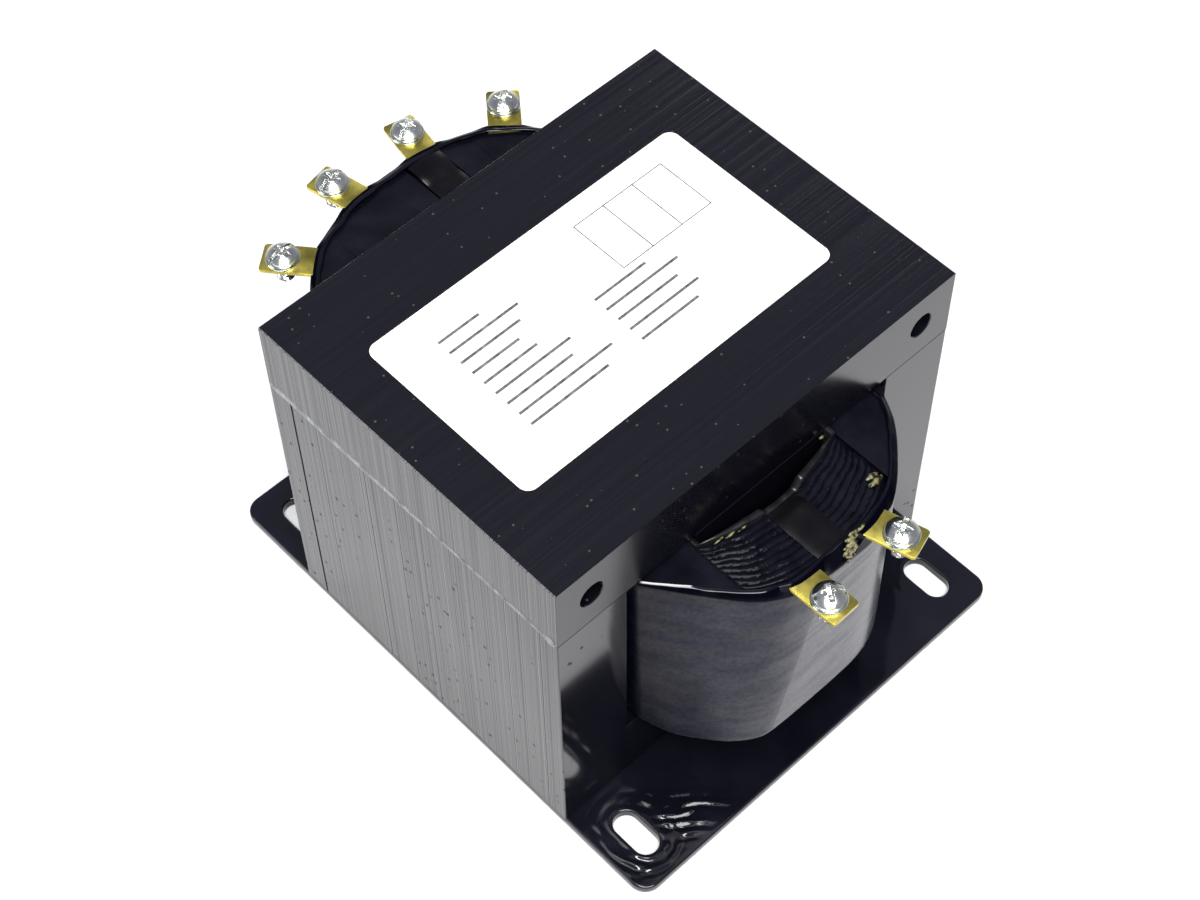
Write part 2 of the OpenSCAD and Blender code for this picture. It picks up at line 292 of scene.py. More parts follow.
def make_piece(name, patches, look, replaced=(), sharp=40):
    """Joins patches of points and faces into one object, welds their seams and turns their faces
    outwards."""
    starts = np.cumsum([0] + [len(points) for points, faces in patches])
    points = MM * np.concatenate([points for points, faces in patches])
    faces = [face for (_, some), start in zip(patches, starts) for face in (some + start).tolist()]
    mesh = bpy.data.meshes.new(name)
    mesh.from_pydata(points.tolist(), [], faces)
    work = bmesh.new()
    work.from_mesh(mesh)
    bmesh.ops.remove_doubles(work, verts=work.verts, dist=WELD)
    bmesh.ops.dissolve_degenerate(work, edges=work.edges, dist=WELD)
    bmesh.ops.recalc_face_normals(work, faces=work.faces)
    work.to_mesh(mesh)
    work.free()
    mesh.shade_smooth()
    mesh.set_sharp_from_angle(angle=math.radians(sharp))
    mesh.materials.append(look.material)
    piece = bpy.data.objects.new(name, mesh)
    bpy.context.scene.collection.objects.link(piece)
    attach(piece, "root")
    if replaced:
        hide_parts(*replaced)


def ramp(tree, value, stops):
    """Colour for a value: stops are (value, grey or colour), in order."""
    node = tree.nodes.new("ShaderNodeValToRGB")
    elements = node.color_ramp.elements
    while len(elements) < len(stops):
        elements.new(0.5)
    for element, (place, colour) in zip(elements, stops):
        element.position = place
        element.color = (*colour, 1.0) if np.ndim(colour) else (colour, colour, colour, 1.0)
    tree.links.new(value, node.inputs["Fac"])
    return node.outputs["Color"]


class Look:
    """One finish: a material whose patterns lie on the piece's own coordinates and feed one shader."""

    def __init__(self, name):
        self.material = bpy.data.materials.new(name)
        self.material.use_nodes = True
        self.tree = self.material.node_tree
        self.tree.nodes.clear()
        self.shader = self.node("BsdfPrincipled")
        self.tree.links.new(self.shader.outputs["BSDF"], self.node("OutputMaterial").inputs["Surface"])

    def node(self, kind, **sources):
        """New node of a kind, whose inputs are fed by the sources named."""
        node = self.tree.nodes.new(f"ShaderNode{kind}")
        for name, source in sources.items():
            self.tree.links.new(source, node.inputs[name])
        return node

    def space(self, per_metre, tilt=0.0, place=(0, 0, 0)):
        """The piece's own coordinates times a number per metre, turned about X by some degrees and
        moved."""
        mapping = self.node("Mapping", Vector=self.node("TexCoord").outputs["Object"])
        mapping.inputs["Scale"].default_value = per_metre if np.ndim(per_metre) else (per_metre,) * 3
        mapping.inputs["Rotation"].default_value = (math.radians(tilt), 0, 0)
        mapping.inputs["Location"].default_value = place
        return mapping.outputs["Vector"]

    def axis(self, name, tilt=0.0):
        """One axis, turned about X by some degrees, in tenths of a metre. Y has a half added, to keep it
        above 0."""
        return self.node("SeparateXYZ", Vector=self.space(AXIS_SCALE, tilt, (0, 0.5, 0))).outputs[name]

    def noise(self, per_metre, detail=3.0):
        """Cloudy noise with that many cells per metre, on all axes or on each."""
        texture = self.node("TexNoise", Vector=self.space(per_metre))
        texture.inputs["Scale"].default_value = 1.0
        texture.inputs["Detail"].default_value = detail
        return texture.outputs["Fac"]

    def specks(self, per_metre):
        """Distance from scattered points, with that many of them per metre."""
        texture = self.node("TexVoronoi", Vector=self.space(per_metre))
        texture.inputs["Scale"].default_value = 1.0
        return texture.outputs["Distance"]

    def ramp(self, value, stops):
        """Colour for a value."""
        return ramp(self.tree, value, stops)

    def choose(self, first, second, kind):
        """The lighter or the darker of two patterns at each point, or their product."""
        node = self.node("Mix")
        node.data_type = "RGBA"
        node.blend_type = kind
        node.inputs[0].default_value = 1.0
        self.tree.links.new(first, node.inputs[6])
        self.tree.links.new(second, node.inputs[7])
        return node.outputs[2]

    def paint(self, socket, pattern, stops=()):
        """Feeds a socket of the shader from a pattern, through a ramp where stops are given."""
        source = self.ramp(pattern, stops) if stops else pattern
        self.tree.links.new(source, self.shader.inputs[socket])

    def painted(self, socket):
        """The pattern that feeds a socket of the shader."""
        return self.shader.inputs[socket].links[0].from_socket

    def keep(self, socket, value):
        """Holds a socket of the shader at one value."""
        self.shader.inputs[socket].default_value = value

    def relief(self, value, height):
        """Small relief of that height on the shader's normal; a second relief adds to the first."""
        node = self.node("Bump", Height=value)
        node.inputs["Strength"].default_value = 1.0
        node.inputs["Distance"].default_value = height * MM
        if self.shader.inputs["Normal"].links:
            self.tree.links.new(self.painted("Normal"), node.inputs["Normal"])
        self.paint("Normal", node.outputs["Normal"])


def tint(colour, share):
    """Colour times a share, for the light and dark ends of a ramp."""
    return tuple(share * part for part in colour)


def varnish(name, colour, gloss, streaks, lift, pale):
    """Black varnish: streaks turn it paler and duller and lift it a little."""
    look = Look(name)
    pattern = look.noise(streaks)
    look.paint("Base Color", pattern, [(0.35, tint(colour, 0.8)), (0.7, tint(colour, pale))])
    look.paint("Roughness", pattern, [(0.3, gloss[0]), (0.75, gloss[1])])
    look.relief(pattern, lift)
    return look


def metal(name, colour, bare, dark, gloss, scratches):
    """Metal, of which a share is bare, with fine scratches and stains that go down to a dark share of its
    colour."""
    look = Look(name)
    look.keep("Metallic", bare)
    look.paint("Base Color", look.noise(170, 4.0), [(0.3, tint(colour, dark)), (0.62, tuple(colour))])
    scratch = look.noise(scratches, 2.0)
    look.paint("Roughness", scratch, [(0.3, gloss[0]), (0.7, gloss[1])])
    look.relief(scratch, 0.004)
    return look


def polygon_path(corners, steps):
    """Closed path round a polygon, each side cut in its own number of steps, and the outward direction at
    each point."""
    corners = np.array(corners, dtype=float)
    side = np.roll(corners, -1, axis=0) - corners
    outward = np.stack([side[:, 1], -side[:, 0]], axis=1)
    outward /= np.hypot(outward[:, 0], outward[:, 1])[:, None]
    before = np.roll(outward, 1, axis=0)
    mitre = (outward + before) / (1 + (outward * before).sum(axis=1))[:, None]
    points, ways = [], []
    for corner, way, turn, run, count in zip(corners, side, mitre, outward, steps):
        share = np.arange(count)[:, None] / count
        points.append(corner + share * way)
        ways.append(np.where(share > 0, run, turn))
    return np.concatenate(points), np.concatenate(ways)


def stack_rings(length, thickness, height, bevel, seed, sunk=None):
    """Places along a stack and how far its edges stand out there: two places per lamination and a groove
    after it. One groove in ten is deep. The lamination nearest to a sunk place lies deeper than the
    rest."""
    count = round(length / thickness)
    draw = np.random.default_rng(seed)
    start = np.linspace(-length / 2, length / 2, count + 1)
    gap = 0.05 * thickness
    proud = height * (0.8 * draw.normal(size=count) + 1.2 * waves(np.arange(count), 0, 14.0, seed))
    if sunk is not None:
        proud[np.argmin(np.abs(start[:-1] + thickness / 2 - sunk))] = -SUNK_DEPTH
    tilt = height * 0.5 * draw.normal(size=count)
    deep = np.where(draw.uniform(size=count) > 0.9, 5.0, 1.6) * height
    groove = np.minimum(proud, np.roll(proud, -1)) - deep
    place = np.stack([start[:-1] + gap, start[1:] - gap, start[1:]], axis=1).ravel()[:-1]
    stand = np.stack([proud + tilt, proud - tilt, groove], axis=1).ravel()[:-1]
    place[0] = bevel - length / 2
    place[-1] = length / 2 - bevel
    place = np.concatenate([[-length / 2], place, [length / 2]])
    stand = np.concatenate([[-bevel], stand, [-bevel]])
    return place, stand


def carry_along_stack(path, outward, place, stand, seed):
    """Outline in Y and Z carried along X, moved outwards by the stand of each ring and a slow wave."""
    slow = 0.03 * waves(place[:, None], path[None, :, 1], 38, seed)
    slow[[0, -1]] = slow[[1, -2]]
    yz = path[None] + outward[None] * (stand[:, None] + slow)[..., None]
    return stack_xyz(place[:, None], yz[..., 0], yz[..., 1])


def around_hole(border, centre, reach):
    """Rim of a hole met by the rays from its centre to each point of a border; reach gives the rim along
    a ray."""
    arm = border - centre
    ray = arm / np.hypot(arm[:, 0], arm[:, 1])[:, None]
    return centre + ray * reach(ray)[:, None], ray


def core_varnish(name, colours, gloss, lift, pale):
    """Varnish on the core, streaked along every lamination."""
    return varnish(name, colours.varnish, gloss, (1100, 9, 9), lift, pale)


def core_look(colours):
    """Varnish on the E stack, with clusters of dull specks that break its shine."""
    look = core_varnish("core_varnish", colours, (0.07, 0.13), 0.0025, 1.3)
    spots = look.ramp(look.specks(270), [(0.12, 0.03), (0.18, 0.5)])
    clear = look.ramp(look.noise(26, 2.0), [(0.42, 0.5), (0.52, 0.0)])
    look.paint("Specular IOR Level", look.choose(spots, clear, "LIGHTEN"))
    return look


def yoke_look(colours):
    """Varnish on the I stack, with pale grains of dust on it."""
    look = core_varnish("yoke_varnish", colours, (0.18, 0.22), 0.001, 1.15)
    grains = look.ramp(look.specks(300), [(0.075, 0.05), (0.1125, 0.0)])
    look.paint("Base Color", look.choose(look.painted("Base Color"), grains, "LIGHTEN"))
    return look


def build_e_stack(sizes, look):
    """E stack: its outline carried along the stack, with the edge of every lamination stood in or out."""
    half, low, high = E_HIGH[1], E_LOW[2], E_HIGH[2]
    leg = half / 3
    floor = low + leg
    bevel = 0.22
    corners = [
        (-half, low), (half, low), (half, high - bevel), (half - bevel, high), (2 * leg, high),
        (2 * leg, floor), (leg, floor), (leg, high), (-leg, high), (-leg, floor), (-2 * leg, floor),
        (-2 * leg, high), (bevel - half, high), (-half, high - bevel),
    ]
    path, outward = polygon_path(corners, [1, 14, 1, 1, 1, 1, 1, 1, 1, 1, 1, 1, 1, 14])
    length = E_HIGH[0] - E_LOW[0]
    place, stand = stack_rings(length, sizes.lamination / MM, sizes.edge_relief / MM, bevel, 11, SUNK_PLACE)
    points = carry_along_stack(path, outward, place, stand, 12)
    make_piece("core_e_laminations", bar(points), look, ["core_e_stack"], sharp=25)


def tie_hole(borders, y, z, end):
    """Both end faces round a tie hole and the bore between them: rings that grow from the hole's rim to
    the border of each end."""
    eased = 0.25
    faces = []
    for border in borders:
        rim, ray = around_hole(border, np.array([y, z]), lambda ray: np.full(len(ray), TIE_RADIUS))
        wide = rim + ray * eased
        faces.append([between(wide, border, share) for share in (1.0, 0.5, 0.0)] + [rim])
    rings = np.stack(faces[0] + faces[1][::-1])
    x = column(-end, -end, -end, eased - end, end - eased, end, end, end)
    return grid(stack_xyz(x, rings[..., 0], rings[..., 1]), close_columns=True)


def build_i_stack(sizes, look):
    """I stack: a block carried along the stack as the E stack is, with two tie holes right through it.
    Each end face is cut in two by an upright seam, and each half grows round its own hole."""
    half, low, high = I_HIGH[1], I_LOW[2], I_HIGH[2]
    bevel = 0.1
    arris = 0.3
    near = 35
    corners = [
        (bevel - half, low), (-near, low), (near, low), (half - bevel, low), (half, low + bevel),
        (half, high - arris), (half - arris, high), (near, high), (-near, high), (arris - half, high),
        (-half, high - arris), (-half, low + bevel),
    ]
    steps = [16, 2, 16, 1, 12, 1] * 2
    path, outward = polygon_path(corners, steps)
    length = I_HIGH[0] - I_LOW[0]
    place, stand = stack_rings(length, sizes.lamination / MM, 0.22 * sizes.edge_relief / MM, bevel, 21)
    points = carry_along_stack(path, outward, place, stand, 22)
    patches = [grid(points, close_columns=True)]
    ends = points[[0, -1], :, 1:]
    under = steps[0] + 1
    over = under + len(path) // 2
    seam = np.zeros((2, 4, 2))
    seam[..., 1] = np.linspace(high - bevel, low + bevel, 6)[1:-1]
    right = np.concatenate([ends[:, under : over + 1], seam], axis=1)
    left = np.concatenate([ends[:, over:], ends[:, : under + 1], seam[:, ::-1]], axis=1)
    for side, borders in ((1, right), (-1, left)):
        patches.append(tie_hole(borders, side * half * 5 / 6, (low + high) / 2, place[-1]))
    make_piece("core_i_laminations", patches, look, ["core_i_stack"], sharp=25)


def build_welds(look):
    """Weld beads: a half-round section carried along each seam, with a scallop for each puddle of the
    weld and a crater where it was left off."""
    end = E_HIGH[0]
    x = np.linspace(E_LOW[0] + 0.5, end - 0.5, 260)
    across = np.linspace(-1, 1, 11)
    curve = 0.5 + 0.5 * np.cos(math.pi * across)
    puddle = 1.9
    sunk = 0.04
    taper = rise(np.abs(x), end - 0.3, end - 1.5)
    crater = 0.9 * np.exp(-(((x - 50.2) / 1.6) ** 2))
    broad = 0.45 * rise(-x, -25, 20)
    for side, name in ((-1, "seam_weld_left"), (1, "seam_weld_right")):
        seed = 31 + side
        scallop = np.abs(np.sin(math.pi * x / puddle + 2 * waves(x, 0, 14, seed)))
        width = taper * (0.85 + crater + broad + 0.12 * waves(x, 0, 5, seed + 3))
        height = taper * (0.2 + 0.4 * crater + 0.03 * scallop + 0.03 * waves(x, 0, 8, seed + 6))
        y = side * (E_HIGH[1] - sunk + (height + sunk * taper)[:, None] * curve)
        points = stack_xyz(x[:, None], y, I_LOW[2] + width[:, None] * across)
        make_piece(f"{name}_bead", bar(points), look, [name], sharp=50)


def slot_reach(length, width):
    """Reach of a round-ended slot along a ray from its middle."""
    flat = (length - width) / 2
    radius = width / 2

    def reach(ray):
        """A flat side's distance over the ray's slope, or where the ray meets an end's circle."""
        along, across = np.abs(ray[:, 0]), np.abs(ray[:, 1])
        ends = flat * along + np.sqrt(np.maximum(radius**2 - (flat * across) ** 2, 0))
        return np.where(along * radius <= flat * across, radius / np.maximum(across, WELD), ends)

    return reach


def flap_border(start, end, side, corner):
    """Border of a quarter of the plate past the core: its free edge with the outward direction there, the
    line under the core and the line along the middle of the plate."""
    edge = np.linspace(0, side - corner, 40, endpoint=False)
    turn = np.linspace(0, QUARTER_TURN, 10, endpoint=False)
    back = np.linspace(end - corner, start, 25)
    x = np.concatenate([np.full_like(edge, end), end - corner + corner * np.cos(turn), back])
    y = np.concatenate([edge, side - corner + corner * np.sin(turn), np.full_like(back, side)])
    angle = np.concatenate([np.zeros_like(edge), turn, np.full_like(back, QUARTER_TURN)])
    free = np.stack([x, y], axis=1)
    ways = np.stack([np.cos(angle), np.sin(angle)], axis=1)
    down = np.linspace((start, side), (start, 0), 25)[1:]
    inner = np.linspace((start, 0), (end, 0), 25)[1:-1]
    return free, ways, down, inner


def all_round(quarter):
    """Closed line from the line of one quarter and its mirror images in the other three."""
    mirrored = [(quarter * (-1, 1))[::-1], quarter * (-1, -1), (quarter * (1, -1))[::-1]]
    return np.concatenate([quarter, *mirrored])


def varnish_runs(x, y, height):
    """Runs of varnish on the plate: short level waves beside the front left slot, rings round every slot
    and faint long waves elsewhere."""
    wobble = waves(x, y, 17, 43)
    beside = np.exp(-(((x - 74) / 9) ** 2 + ((y + 42) / 10) ** 2))
    runs = np.sin(FULL_TURN * (0.73 * x - 0.68 * y) / 2.9 + 1.6 * wobble)
    slot_half = 3.6
    past_flat = np.maximum(np.abs(np.abs(x) - SLOT_CENTRE[0]) - slot_half, 0)
    from_slot = np.hypot(past_flat, np.abs(y) - SLOT_CENTRE[1]) - slot_half
    rings = np.sin(FULL_TURN * from_slot / 3.3 + 2.2 * wobble) * rise(from_slot, 10, 3)
    broken = rise(waves(x, y, 8, 41), -0.8, 0.5)
    left_front = between(0.12, 0.6, rise(x, 0, 30) * rise(-y, 0, 30))
    return height * (beside * runs * broken + left_front * rings * broken + 0.1 * waves(x, y, 11, 42))


def build_foot_plate(sizes, colours):
    """Foot plate: rings from each slot to the border of its quarter, and a rounded edge carried round the
    outline."""
    thick = PLATE_HIGH[2]
    edge = 0.5
    corner = 5
    under_core = 3
    start = E_HIGH[0] - under_core
    free, ways, down, inner = flap_border(start, PLATE_HIGH[0] - edge, PLATE_HIGH[1] - edge, corner - edge)
    border = np.concatenate([free, down, inner])
    rim, ray = around_hole(border, SLOT_CENTRE, slot_reach(SLOT_LENGTH, SLOT_WIDTH))
    eased = edge * np.array([0.0, 0.05, 0.2, 0.5, 1.0])
    shares = np.linspace(0, 1, 46)[1:] ** 1.25
    lip = rim + ray * edge
    top = np.concatenate([rim + ray * eased[:, None, None], between(lip, border, shares[:, None, None])])
    fall = np.concatenate([edge - np.sqrt(edge**2 - (edge - eased) ** 2), np.zeros_like(shares)])
    settle = np.concatenate([np.zeros_like(eased), rise(shares, 0, 0.1) * rise(shares, 1.0, 0.8)])
    patches = []
    for flip in ((1, 1), (-1, 1), (-1, -1), (1, -1)):
        turned = top * flip
        runs = varnish_runs(turned[..., 0], turned[..., 1], sizes.plate_ripple / MM)
        upper = at_height(turned, thick - fall[:, None] + settle[:, None] * runs)
        lower = at_height(np.stack([border, rim]) * flip, 0.0)
        patches.append(grid(np.concatenate([lower, upper]), close_columns=True))
    turn = np.linspace(0, QUARTER_TURN, 5)
    offset = edge * np.concatenate([np.sin(turn), np.sin(turn[::-1])])
    height = np.concatenate([thick - edge + edge * np.cos(turn), edge - edge * np.cos(turn[::-1])])
    round_edge = all_round(free) + offset[:, None, None] * all_round(ways)
    patches.append(grid(at_height(round_edge, height[:, None]), close_columns=True))
    middle = all_round(np.concatenate([free[-1:], down])[::-1])
    for z in (0.0, thick):
        patches.append(cap(at_height(middle, z)))
    look = varnish("plate_varnish", tint(colours.varnish, 1.3), (0.07, 0.15), 60, 0.05, 1.6)
    look.relief(look.noise(420, 4.0), 0.012)
    make_piece("foot_plate_varnished", patches, look, ["foot_plate"])


def ease(values):
    """Run of values with its kinks rounded off: a moving average that leaves its ends in place."""
    reach = 11
    weight = np.hanning(2 * reach + 3)[1:-1]
    return np.convolve(np.pad(values, reach, "reflect", reflect_type="odd"), weight / weight.sum(), "valid")


def ends_loop(front, back):
    """Closed line round the coil from its front and back ends, each a run of corners (y, x), with
    straight sides."""
    runs = []
    for corners, side in ((front, 1), (back[::-1], -1)):
        share = np.linspace(0, len(corners) - 1, END_STEPS)
        knots = np.arange(len(corners))
        parts = [ease(np.interp(share, knots, part)) for part in (side * corners[:, 1], corners[:, 0])]
        runs.append(np.stack(parts, axis=1))
    front, back = runs
    share = np.arange(1, SIDE_STEPS)[:, None] / SIDE_STEPS
    right = between(front[-1], back[0], share)
    left = between(back[-1], front[0], share)
    return np.concatenate([front, right, back, left])


def bowed_end(corners):
    """The former's end: the same share of the way across at every corner of the rim, bowed outwards."""
    across = corners[:, 0] / OUTER_HALF
    return np.stack([INNER_HALF * across, INNER_REACH - FORMER_BOW * across**2], axis=1)


def coil_loop(out, level=1.0):
    """Closed line round the coil. Out runs from 0 at the former to 1 at the wrap. Level runs from 0 at
    the bottom of the coil to 1 at its top rim, and straight lines join the corners of the two."""
    out, level = np.asarray(out)[..., None], np.asarray(level)[..., None]
    inner = ends_loop(bowed_end(FRONT_RIM), bowed_end(BACK_RIM))
    outer = between(ends_loop(FRONT_BASE, BACK_BASE), ends_loop(FRONT_RIM, BACK_RIM), level)
    line = between(inner, outer, out)
    return line[..., 0], line[..., 1]


def end_reach(out, y, rim):
    """How far the top of the coil reaches along X at a distance y from its middle, at the end that has
    that rim."""
    across = y / between(INNER_HALF, OUTER_HALF, out)
    outer = np.interp(across * OUTER_HALF, rim[:, 0], rim[:, 1])
    return between(INNER_REACH - FORMER_BOW * across**2, outer, out)


def run_length(x, y):
    """Distance along a line of points from its first point."""
    return np.concatenate([[0], np.cumsum(np.hypot(np.diff(x), np.diff(y)))])


def outward_way(x, y):
    """Outward direction at each point of a closed line that runs anticlockwise."""
    along_x = np.roll(x, -1) - np.roll(x, 1)
    along_y = np.roll(y, -1) - np.roll(y, 1)
    length = np.hypot(along_x, along_y)
    return along_y / length, -along_x / length


def build_former(colours):
    """Former: a thin wall carried round the bowed outline of the coil's hole. Its top edge is worn, and
    pressed down where the secondary strap crosses it."""
    outer_x, outer_y = coil_loop(0.0)
    hole_x, hole_y = coil_loop(-FORMER_WALL / BUILD)
    along = run_length(outer_x, outer_y)
    pressed = 2.4 * rise(np.abs(outer_y - 1.0), 7.5, 4.5) * (outer_x > 0)
    wear = 0.2 * waves(along, 0, 7, 61) - 0.2 - pressed
    share = column(0.0, 0.0, 0.15, 0.5, 0.85, 1.0, 1.0)
    drop = column(0.0, 0.55, 0.2, 0.08, 0.2, 0.55, 0.0)
    z = FORMER_HIGH[2] - drop + wear * np.ones_like(share)
    z[[0, -1]] = FORMER_LOW[2]
    points = stack_xyz(between(outer_x, hole_x, share), between(outer_y, hole_y, share), z)
    look = varnish("former_paper", colours.former, (0.2, 0.4), (160, 160, 500), 0.02, 1.8)
    make_piece("coil_former_paper", [grid(points, True, True)], look, ["coil_former"])


def build_winding(sizes, colours):
    """Windings: a section whose top edge has a ridge for each layer, carried round the coil. The layers
    waver, lie lower under the papers and dip at the wrap."""
    first = 0.05
    last = BUILD - 1.05
    layer = last / sizes.layers
    layer_steps = 9
    groove = sizes.layer_groove / MM
    depth = np.linspace(first, last, sizes.layers * layer_steps + 1)[:, None]
    x, y = coil_loop(depth / BUILD)
    along = run_length(*coil_loop(1.0))[None]
    number = np.floor(depth / layer)
    waver = layer * (0.1 * waves(along, 9 * number, 13, 71) + 0.22 * waves(along, 0, 26, 74))
    ridge = np.abs(np.sin(math.pi * (depth + waver) / layer)) ** 0.4
    lumps = 0.03 * waves(along, 14 * number, 3.5, 72)
    lumps = lumps + 0.16 * waves(along, 23 * number, 17, 73)
    covered = np.maximum(rise(np.abs(y), 22.8, 25.2), rise(-x, 20, 40))
    rim_dip = 2.2 * rise(depth, last - 2.6, last)
    z = COIL_TOP - 0.1 - groove * (1 - ridge) + lumps - 0.9 * covered - rim_dip
    base_x, base_y = coil_loop(depth[[-1, 0]] / BUILD, 0.0)
    base = stack_xyz(base_x, base_y, COIL_BOTTOM)
    points = np.concatenate([stack_xyz(x, y, z), base])
    look = varnish("winding_varnish", colours.paper, (0.08, 0.22), 260, 0.02, 1.7)
    # Painted shade: the windings shine less towards their left side (low Y), so that side of their ends
    # reads darker.
    look.paint("Specular IOR Level", look.axis("Y"), [(0.3, 0.07), (0.5, 0.13), (0.62, 0.3)])
    look.relief(look.noise(1300, 2.0), 0.07)
    replaced = ["secondary_winding", "winding_barrier", "primary_winding"]
    make_piece("winding_layers", [grid(points, True, True)], look, replaced, sharp=60)


def tab_seats():
    """Where each tab crosses the rim of the coil."""
    screws = np.array([middle_of(f"{group}_screw_{number}")[:2] for group, number, turn in TERMINALS])
    return screws - RIM_TO_SCREW * np.array([heading(turn) for group, number, turn in TERMINALS])


def wrap_section(lip, lean, slope):
    """Section of the wrap at each place along its rim: depth inside its outer face, height and share of
    the wrinkles. The face leans in to a narrow lip, which slopes up to its inner edge."""
    flat = 0.6 + 1.3 * slope
    share = np.linspace(0, 1, 8)[1:, None]
    over = np.linspace(0, 1, 5)[1:, None]
    edge = RIM_TOP + slope * flat
    rows = [
        (0.0, between(COIL_BOTTOM + 0.7, RIM_TOP - lean, np.linspace(0, 1, 70)[:, None]), 1.0),
        ((lip - flat) * share, RIM_TOP - lean * (1 - share), 0.8),
        (lip - flat * (1 - over), RIM_TOP + slope * flat * over, 0.6 * (1 - over)),
        (lip + column(0.1, -0.3), edge + column(-0.1, -0.9), 0.0),
        (1.0, RIM_TOP - lean[None] - 2.0, 0.0),
        (column(1.0, 0.6), COIL_BOTTOM + 0 * lean, 0.0),
    ]
    return [np.concatenate(part) for part in zip(*(np.broadcast_arrays(*row) for row in rows))]


def wrap_look(colours):
    """Varnish on the wrap, with light and shade painted into its shine and colour: its flat front shines
    more than its left corner, a painted sheen and painted shade, with a leaning crease between them; a
    slanted band under the rim hardly shines and is darker, as painted shade; the very rim shines most of
    all, for a painted highlight."""
    look = varnish("wrap_varnish", colours.wrap, (0.34, 0.48), (22, 22, 300), 0.012, 1.6)
    look.relief(look.noise(150), 0.03)
    across = look.axis("Y", 14)
    band = look.axis("Z", 6.45)
    height = look.axis("Z")
    top = RIM_TOP * MM * AXIS_SCALE
    # Painted sheen and shade: more shine on the flat front than towards the left corner.
    front = look.ramp(across, [(0.12, 0.36), (0.218, 0.62), (0.243, 0.92)])
    wrinkles = look.ramp(look.noise((45, 45, 260), 4.0), [(0.3, 0.45), (0.48, 0.95)])
    # Painted shade: almost no shine in a slanted band under the rim.
    under = look.ramp(band, [(0.8395, 1.0), (0.8514, 0.03)])
    # Painted shade: the left corner is darkened, in its shine and in its colour.
    corner = look.ramp(look.axis("Y"), [(0.085, 0.45), (0.19, 1.0)])
    mottle = look.ramp(look.noise((80, 80, 190), 6.0), [(0.36, 0.62), (0.62, 1.0)])
    grain = look.ramp(look.noise(900, 2.0), [(0.3, 0.65), (0.62, 1.0)])
    # Painted highlight: full shine on the very rim.
    rim = look.ramp(height, [(top + 0.0002, 0.0), (top + 0.0008, 1.0)])
    shine = look.choose(look.choose(front, wrinkles, "DARKEN"), under, "DARKEN")
    for pattern in (corner, mottle, grain):
        shine = look.choose(shine, pattern, "MULTIPLY")
    look.paint("Specular IOR Level", look.choose(shine, rim, "LIGHTEN"))
    # Painted shade: the colour is darker in the band under the rim and at the left corner.
    painted_band_shade = look.ramp(band, [(0.8395, 1.0), (0.8514, 0.3)])
    painted_shade_colour = look.choose(look.painted("Base Color"), painted_band_shade, "MULTIPLY")
    look.paint("Base Color", look.choose(painted_shade_colour, corner, "MULTIPLY"))
    flat = look.ramp(across, [(0.218, 1.0), (0.243, 0.24)])
    wet = look.ramp(height, [(top - 0.014, 1.0), (top - 0.007, 0.06)])
    clear = look.choose(look.painted("Roughness"), flat, "DARKEN")
    look.paint("Roughness", look.choose(clear, wet, "DARKEN"))
    return look


def build_wrap(sizes, colours):
    """Outer wrap: its section carried round the coil, with faint level wrinkles; it stands straighter
    where a tab comes out under its lip."""
    rim_x, rim_y = coil_loop(1.0)
    along = run_length(rim_x, rim_y)
    front = rise(rim_x, -30, 30)
    apart = np.stack([rim_x, rim_y])[:, None] - tab_seats().T[..., None]
    seated = rise(np.hypot(*apart), 9, 4.4).max(axis=0)
    lip = between(sizes.lip / MM, np.interp(rim_y, RIM_PLACES, RIM_LIPS), front)
    lip = lip + 0.2 * waves(along, 0, 8, 85)
    lean = between(1.4, np.interp(rim_y, RIM_PLACES, RIM_LEANS), front)
    lean = between(lean, 0.6, seated)
    slope = 0.27 + 0.012 * waves(along, 0, 7, 86)
    slope = slope * front * rise(rim_y, -17, -22)
    depth, height, wrinkled = wrap_section(lip, lean, slope)
    x, y = coil_loop(1 - depth / BUILD, np.clip((height - COIL_BOTTOM) / (RIM_TOP - COIL_BOTTOM), 0, 1))
    swell = 0.12 * waves(along, 0.5 * height, 46, 81)
    patchy = rise(waves(along, height, 34, 83), -0.5, 1.0)
    wrinkles = 0.07 * waves(0.06 * along, height, 3.0, 82) * patchy
    out = wrinkled * (swell + wrinkles - 0.12)
    way_x, way_y = outward_way(rim_x, rim_y)
    z = height + 0.05 * waves(along, 0, 9, 84) * rise(height, COIL_TOP - 4, COIL_TOP)
    points = stack_xyz(x + out * way_x, y + out * way_y, z)
    patches = [grid(points, True, True)]
    make_piece("coil_outer_wrap", patches, wrap_look(colours), ["coil_wrap"], sharp=50)


def paper_look(name, colour, shine):
    """Varnished paper or tape on top of the coil."""
    look = varnish(name, colour, (0.14, 0.34), 90, 0.05, 1.8)
    look.relief(look.noise(700, 2.0), 0.008)
    look.keep("Specular IOR Level", shine)
    return look


def build_window_papers(tucked, look):
    """Window papers: a gently cockled strip along the top of each window. A corner of the right one
    sticks out beside the core."""
    paper = 0.4
    share = np.linspace(0, 1, 150)
    for side, name in ((-1, "window_paper_left"), (1, "window_paper_right")):
        y = side * np.linspace(INNER_HALF + 0.1, OUTER_HALF - 1.7, 24)[:, None]
        x = between(-end_reach(tucked, y, BACK_RIM), end_reach(tucked, y, FRONT_RIM), share)
        cockle = 0.12 * waves(x, y, 17, 91 + side) * rise(np.abs(x), 48, 56)
        corner = 3.6 * np.clip(1 - np.abs(x - 53.4) / 2.6, 0, 1) * rise(y, 36, 39.8)
        top = stack_xyz(x, y + corner, COIL_TOP + 0.3 + cockle + 0.25 * corner)
        make_piece(f"{name}_sheet", sheet(top, paper), look, [name], sharp=50)


